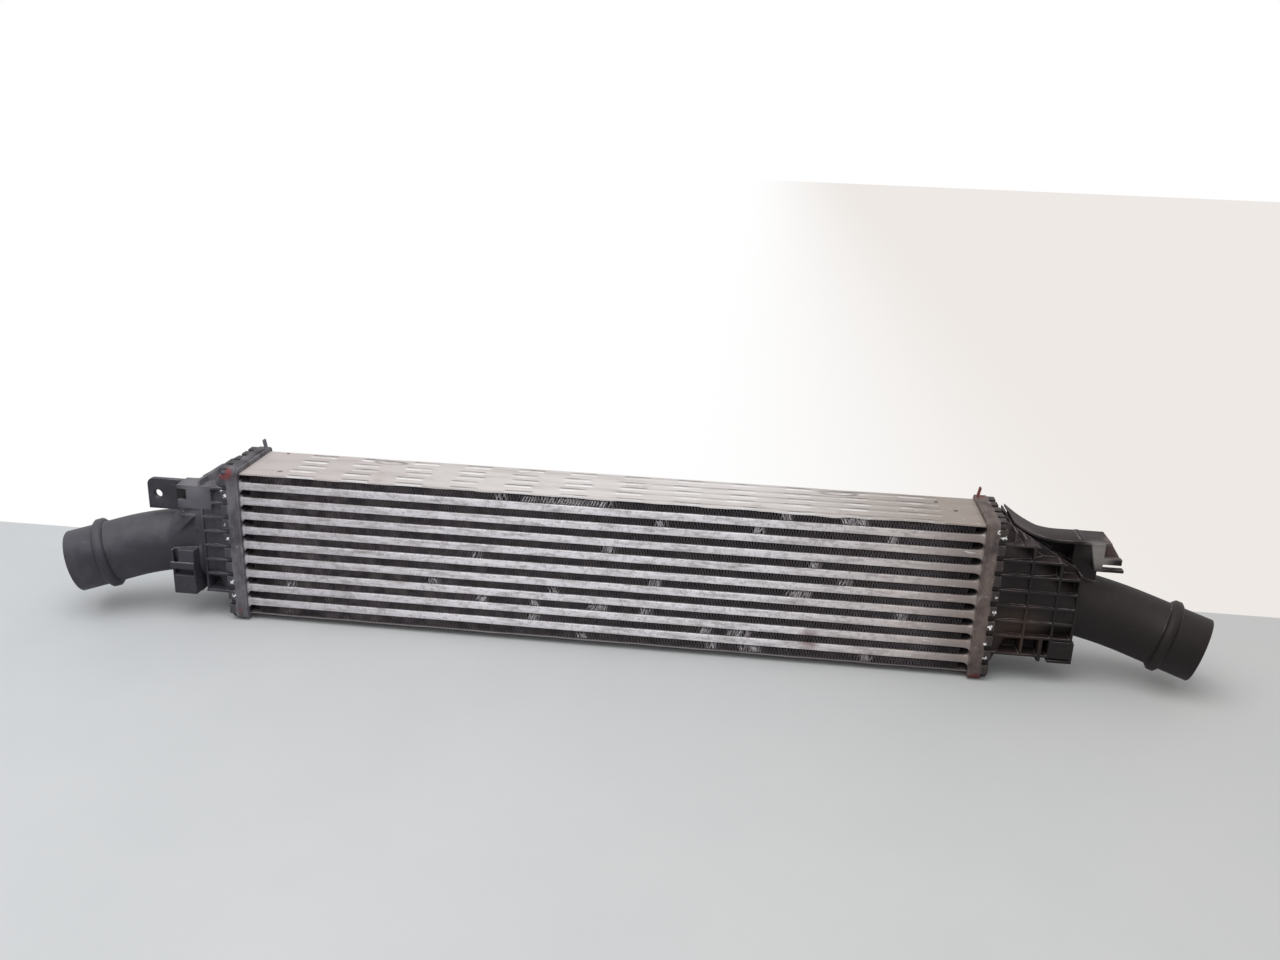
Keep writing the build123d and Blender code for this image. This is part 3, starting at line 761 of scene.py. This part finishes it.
makeTubes()
print("tubes made")


plateSizes = {
    "halfLength": 308.7 * mm,
    "halfDepth": 32 * mm,
    "floor": 128.2 * mm,
    "top": 130.05 * mm,
    "sheet": 1.5 * mm,
    "dashLength": 24 * mm,
    "dashPitch": 46.5 * mm,
    "dashRise": 0.35 * mm,
    "dashWidth": 2.4 * mm,
    "dashShift": 3 * mm,  # of every other row
    "dashSpan": 276 * mm,
    "hole": 2 * mm,
    "sway": 0.35 * mm,  # of the front edge
    "swayDepth": 4 * mm,
}
dashRows = [25, 10, -3, -16, -31]
plateHoles = [(-290.5, 29), (-278, -20), (275.8, 17.8), (289.3, -1.5)]
# x, y, half length and depth of each dent in the top plate, in millimetres
plateDents = [
    (-195, 24, 16, 1.0), (195, 24, 18, 1.0), (158, -31, 14, 1.3), (188, -32, 12, 1.0), (214, -31, 9, 0.8),
]


def ease(value):
    value = np.clip(value, 0, 1)
    return value * value * (3 - 2 * value)


def gridMesh(name, xs, ys, heights, keep):
    count = len(ys)
    gridX, gridY = np.meshgrid(xs, ys, indexing="ij")
    place = np.stack([gridX, gridY, heights(gridX, gridY)], -1).reshape(-1, 3)
    faces = []
    for i in range(len(xs) - 1):
        for j in range(count - 1):
            first = i * count + j
            if keep((xs[i] + xs[i + 1]) / 2, (ys[j] + ys[j + 1]) / 2):
                faces.append((first, first + count, first + count + 1, first + 1))
    mesh = bpy.data.meshes.new(name)
    mesh.from_pydata(place.tolist(), [], faces)
    return mesh


def thickened(mesh, thickness):
    solid = walled(mesh, thickness, -1)
    solid.shade_smooth()
    solid.set_sharp_from_angle(angle=sharpAngle)
    return solid


def dashes(atX, atY, shift=0.0, joined=0.0):  # 1 on the crest of each pressed dash, joined between them
    total = np.zeros_like(atX)
    for row, y in enumerate(dashRows):
        phase = (atX + (row % 2) * plateSizes["dashShift"]) / plateSizes["dashPitch"] + 0.5
        away = np.abs(phase - np.round(phase)) * plateSizes["dashPitch"]
        ends = 1 - ease((away - plateSizes["dashLength"] / 2 + 2 * mm) / (3 * mm))
        ends = np.maximum(ends, joined * ease((atX + 30 * mm) / (90 * mm)))
        ends = ends * (np.abs(atX) < plateSizes["dashSpan"])
        side = 1 - ease(np.abs(atY - y * mm - shift) / plateSizes["dashWidth"])
        total = np.maximum(total, ends * side)
    return total


def dentRims(atX, atY):  # painted shade outlining the two knocks near the back edge
    total = np.zeros_like(atX)
    for x, y, half, _ in plateDents[:2]:
        reach = ((atX - x * mm) / (half * 0.8 * mm)) ** 2 + ((atY - y * mm) / (4.5 * mm)) ** 2
        total = np.maximum(total, np.exp(-(((reach - 1) / 0.45) ** 2)))
    return total


def dents(atX, atY):
    total = np.zeros_like(atX)
    for x, y, half, depth in plateDents:
        reach = ((atX - x * mm) / (half * mm)) ** 2 + ((atY - y * mm) / (7 * mm)) ** 2
        total += depth * mm * np.exp(-reach)
    return total


def makeTopPlate():
    xs = np.linspace(-plateSizes["halfLength"], plateSizes["halfLength"], 412)
    ys = np.linspace(-plateSizes["halfDepth"], plateSizes["halfDepth"], 97)

    def heights(atX, atY):
        level = plateSizes["floor"] + plateSizes["sheet"]
        front = np.exp(-(((atY + plateSizes["halfDepth"]) / plateSizes["swayDepth"]) ** 2))
        sway = plateSizes["sway"] * wave(atX * 60, 5) * front
        top = level + plateSizes["dashRise"] * dashes(atX, atY) + sway - dents(atX, atY)
        return np.minimum(top, plateSizes["top"])

    def keep(x, y):
        return all(math.hypot(x - hx * mm, y - hy * mm) > plateSizes["hole"] for hx, hy in plateHoles)

    mesh = gridMesh("topPlate", xs, ys, heights, keep)
    place = points(mesh)
    # painted highlight on the front slope of each dash, painted shade behind each dash and round the dents
    paint(mesh, "lit", dashes(place[:, 0], place[:, 1], -1.3 * mm, 0.45))
    behind = dashes(place[:, 0], place[:, 1], 3.3 * mm, 0.5)
    paint(mesh, "shade", np.maximum(behind, dentRims(place[:, 0], place[:, 1])))
    solid = thickened(mesh, plateSizes["sheet"] * 0.9)
    pieceFrom(solid, "topPlate", finish["plate"], "plate_alloy", "top_side_plate")


bottomSizes = {"level": 1.2 * mm, "sheet": 0.9 * mm, "sway": 0.3 * mm, "swayDepth": 5 * mm}


def makeBottomPlate():
    xs = np.linspace(-plateSizes["halfLength"], plateSizes["halfLength"], 300)
    ys = np.linspace(-plateSizes["halfDepth"], plateSizes["halfDepth"], 17)

    def heights(atX, atY):
        front = np.exp(-(((atY + plateSizes["halfDepth"]) / bottomSizes["swayDepth"]) ** 2))
        return bottomSizes["level"] + bottomSizes["sway"] * wave(atX * 75, 9) * front

    mesh = gridMesh("bottomPlate", xs, ys, heights, lambda x, y: True)
    solid = thickened(mesh, bottomSizes["sheet"])
    pieceFrom(solid, "bottomPlate", finish["plate"], "plate_alloy", "bottom_side_plate")


makeTopPlate()
makeBottomPlate()
print("side plates made")


# Braze fillets run round each tube where it enters its header plate.
filletSizes = {
    "face": 309 * mm,
    "radius": {"left": 2.0 * mm, "right": 3.1 * mm},
    "stretch": {"left": 1.0, "right": 1.7},  # along the core
}


def filletPattern():
    inputs = {"Height": float, "Depth": float, "Pitch": float, "Rows": int, "Radius": float}
    p = Pattern("filletPattern", {**inputs, "Finish": "material"})
    radius = p.input("Radius")
    box = {"Width": p.input("Depth"), "Height": p.input("Height")}
    ring = p.node("GeometryNodeCurvePrimitiveQuadrilateral", {}, box)
    corner = {"Curve": ring, "Radius": tubeSizes["nose"], "Limit Radius": True, "Count": 3}
    ring = p.node("GeometryNodeFilletCurve", {"mode": "POLY"}, corner)
    arc = {"Resolution": 7, "Radius": radius, "Start Angle": math.pi, "Sweep Angle": math.pi / 2}
    section = p.node("GeometryNodeCurveArc", {"mode": "RADIUS"}, arc)
    section = p.node("GeometryNodeTransform", {}, {0: section, "Translation": p.vector(X=radius, Y=radius)})
    skin = p.node("GeometryNodeCurveToMesh", {}, {"Curve": ring, "Profile Curve": section})
    skin = p.node("GeometryNodeFlipFaces", {}, {0: skin})
    line = {"Count": p.input("Rows"), "Offset": p.vector(Y=p.input("Pitch"))}
    line = p.node("GeometryNodeMeshLine", {}, line)
    p.finishWith(p.node("GeometryNodeInstanceOnPoints", {}, {"Points": line, "Instance": skin}))
    return p


def makeFillets():
    pattern = filletPattern()
    for side, name in ((-1, "left"), (1, "right")):
        values = {
            "Height": tubeSizes["height"],
            "Depth": tubeSizes["depth"],
            "Pitch": finSizes["rowPitch"],
            "Rows": tubeSizes["count"],
            "Radius": filletSizes["radius"][name],
            "Finish": finish["tube"],
        }
        mesh = pattern.run("filletRings", values)
        drawn = points(mesh)  # drawn lying flat: the tube's depth along X, its height along Y
        height = drawn[:, 1] + tubeMiddle(0)
        out = filletSizes["face"] + drawn[:, 2] * filletSizes["stretch"][name]
        setPoints(mesh, np.stack([side * out, side * drawn[:, 0], height], -1))
        mesh.shade_smooth()
        pieceFrom(mesh, name + "Fillets", finish["tube"], "tube_alloy")


makeFillets()
print("braze fillets made")


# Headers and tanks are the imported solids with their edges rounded.
seamReach = 0.02 * mm
neckDrop, neckSweep = math.radians(13.6), math.radians(19)
neckAway = Vector((
    math.cos(neckDrop) * math.cos(neckSweep), -math.cos(neckDrop) * math.sin(neckSweep), -math.sin(neckDrop)
))
softPieces = {
    "leftHeader": {
        "nodes": ["left_header", "left_header_rim"],
        "away": Vector((-1, 0, 0)),
        "finish": "leftHeader",
        "slot": "left_header_alloy",
        "bevel": 0.35 * mm,
        "round": False,
    },
    "rightHeader": {
        "nodes": ["right_header", "right_header_rim"],
        "away": Vector((1, 0, 0)),
        "finish": "rightHeader",
        "slot": "right_header_alloy",
        "bevel": 0.35 * mm,
        "round": False,
    },
    "leftTank": {
        "nodes": ["left_tank", "left_neck"],
        "away": Vector((-neckAway.x, neckAway.y, neckAway.z)),
        "finish": "leftPlastic",
        "slot": "left_plastic",
        "bevel": 0.45 * mm,
        "round": True,
    },
    "rightTank": {
        "nodes": ["right_tank", "right_neck"],
        "away": neckAway,
        "finish": "rightPlastic",
        "slot": "right_plastic",
        "bevel": 0.45 * mm,
        "round": True,
    },
}


def mergedNode(node):
    work = bmesh.new()
    work.from_mesh(nodes[node].data)
    bmesh.ops.remove_doubles(work, verts=work.verts, dist=0.005 * mm)
    bmesh.ops.dissolve_limit(work, angle_limit=math.radians(0.6), verts=work.verts, edges=work.edges)
    wide = [f for f in work.faces if len(f.verts) > 4]  # flat faces with notches and holes
    bmesh.ops.triangulate(work, faces=wide, quad_method="BEAUTY", ngon_method="BEAUTY")
    return work


def evenSeam(mesh, away, seam):  # shading runs on unbroken where a bend meets its neck
    ring = [v.co for v in mesh.vertices if abs(v.co.dot(away) - seam) < seamReach]
    centre = Vector([(min(c) + max(c)) / 2 for c in zip(*ring)])
    normals = [Vector() for loop in mesh.loops]
    for face in mesh.polygons:
        for loop in face.loop_indices:
            spot = mesh.vertices[mesh.loops[loop].vertex_index].co
            if abs(spot.dot(away) - seam) > seamReach:
                continue
            out = (spot - centre).normalized()
            if abs(face.normal.dot(out)) > 0.7:
                normals[loop] = out * math.copysign(1, face.normal.dot(out))
    mesh.normals_split_custom_set(normals)


def softened(name, size):
    away = size["away"]
    whole = bmesh.new()
    seam = None
    for node in reversed(size["nodes"]):  # the outer node comes first, and its near end is the seam
        work = mergedNode(node)
        plain = BVHTree.FromBMesh(work)
        if seam is None:
            seam = min(v.co.dot(away) for v in work.verts)
        sharp = [
            e
            for e in work.edges
            if e.calc_face_angle(0) > sharpAngle
            and not all(abs(v.co.dot(away) - seam) < seamReach for v in e.verts)
        ]
        bevel = {"offset": size["bevel"], "offset_type": "OFFSET", "segments": 2, "profile": 0.5}
        # rounded faces are marked: edge wear on the headers, a painted highlight on the upper edges of the
        # tanks
        wearAndHighlight = work.faces.layers.float.new("wearAndHighlight")
        rounded = bmesh.ops.bevel(work, geom=sharp, affect="EDGES", clamp_overlap=False, **bevel)
        for face in rounded["faces"]:
            face[wearAndHighlight] = 1.0
        for vert in work.verts:  # points pushed past the end of a short edge come back
            spot, _, _, gap = plain.find_nearest(vert.co)
            if gap > size["bevel"] * 0.8:
                vert.co = spot
        part = bpy.data.meshes.new("part")
        work.to_mesh(part)
        work.free()
        whole.from_mesh(part)
        bpy.data.meshes.remove(part)
    mesh = bpy.data.meshes.new(name)
    whole.to_mesh(mesh)
    whole.free()
    mesh.shade_smooth()
    mesh.set_sharp_from_angle(angle=sharpAngle)
    if size["round"]:
        evenSeam(mesh, away, seam)
    return mesh


for name, size in softPieces.items():
    pieceFrom(softened(name, size), name, finish[size["finish"]], size["slot"], *size["nodes"])
print("headers and tanks made")

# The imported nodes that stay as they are.
for node, item in nodes.items():
    coat = "plate" if "plate" in node else "rubber" if "gasket" in node else "tube"
    item.data.materials.clear()
    item.data.materials.append(finish[coat])


floorLook = {
    "left": tone("dcdfe2"),
    "right": tone("d8d8d6"),
    "cloud": tone("cdd1d4"),
    "wallLeft": tone("ffffff"),
    "wallRight": tone("eee9e5"),
    "wallLine": 0.142,
}


def floorFinish(look):
    f = Finish("floorFinish")
    x, y = f.axis("X"), f.axis("Y")
    base = f.mix((x + 0.5) / 1.1, look["left"], look["right"])
    base = f.mix(f.noise(5, 4, 0.6).rise(0.3, 0.7) * 0.3, base, look["cloud"])
    shader = f.node("ShaderNodeBsdfPrincipled", {}, {"Base Color": base, "Roughness": 0.6})
    wall = f.mix(x.rise(0.0, 0.6), look["wallLeft"], look["wallRight"])
    glow = f.node("ShaderNodeEmission", {}, {"Color": wall, "Strength": 1.0})
    past = y.rise(look["wallLine"] - 0.001, look["wallLine"] + 0.001)
    seen = f.node("ShaderNodeLightPath", out="Is Camera Ray")
    both = f.node("ShaderNodeMixShader", {}, {0: past * seen, 1: shader, 2: glow})
    f.node("ShaderNodeOutputMaterial", {}, {"Surface": both})
    return f.material


stageSizes = {"floor": -5.3 * mm, "half": 6.0}
floorMesh = bpy.data.meshes.new("floor")
h, low = stageSizes["half"], stageSizes["floor"]
floorMesh.from_pydata([(-h, -h, low), (h, -h, low), (h, h, low), (-h, h, low)], [], [(0, 1, 2, 3)])
floorMesh.materials.append(floorFinish(floorLook))
floorPlane = bpy.data.objects.new("floor", floorMesh)
bpy.context.collection.objects.link(floorPlane)

lamp = {"place": (-0.35, -0.55, 1.7), "size": 1.8, "power": 18.0, "aim": (0, 0, 0.05)}
lampData = bpy.data.lights.new("softLamp", "AREA")
lampData.shape = "SQUARE"
lampData.size = lamp["size"]
lampData.energy = lamp["power"]
lampObject = bpy.data.objects.new("softLamp", lampData)
lampObject.location = lamp["place"]
lampObject.rotation_euler = (Vector(lamp["aim"]) - Vector(lamp["place"])).to_track_quat("-Z", "Y").to_euler()
bpy.context.collection.objects.link(lampObject)

room = {"light": 0.5, "mirrored": 0.75}  # seen by the camera at full white
world = bpy.data.worlds.new("room")
world.use_nodes = True
world.node_tree.nodes.clear()
sky = Graph(world.node_tree)
rays = ("Is Camera Ray", "Is Glossy Ray", "Is Transmission Ray")
seen, mirrored, through = (sky.node("ShaderNodeLightPath", out=ray) for ray in rays)
bright = seen.most(mirrored * room["mirrored"]).most(through).most(room["light"])
glow = sky.node("ShaderNodeBackground", {}, {"Color": (1, 1, 1, 1), "Strength": bright})
sky.node("ShaderNodeOutputWorld", {}, {"Surface": glow})
bpy.context.scene.world = world

view = {
    "place": (117.062 * mm, -905.269 * mm, 444.576 * mm),
    "yaw": 5.6211,
    "pitch": 18.6682,
    "roll": 2.0979,
    "lens": 32.125,
    "sensor": 36,
    "clipStart": 0.01,
}


def aimCamera():
    yaw, pitch, roll = (math.radians(view[k]) for k in ("yaw", "pitch", "roll"))
    ahead = Vector((-math.sin(yaw) * math.cos(pitch), math.cos(yaw) * math.cos(pitch), -math.sin(pitch)))
    level = Vector((math.cos(yaw), math.sin(yaw), 0))
    upright = level.cross(ahead)
    right = math.cos(roll) * level + math.sin(roll) * upright
    up = right.cross(ahead)
    turn = Matrix((right, up, -ahead)).transposed()
    data = bpy.data.cameras.new("camera")
    data.lens = view["lens"]
    data.sensor_width = view["sensor"]
    data.clip_start = view["clipStart"]
    camera = bpy.data.objects.new("camera", data)
    camera.matrix_world = Matrix.Translation(Vector(view["place"])) @ turn.to_4x4()
    bpy.context.collection.objects.link(camera)
    bpy.context.scene.camera = camera


aimCamera()
bpy.context.scene.view_settings.view_transform = "Standard"
print("floor, light and camera set")
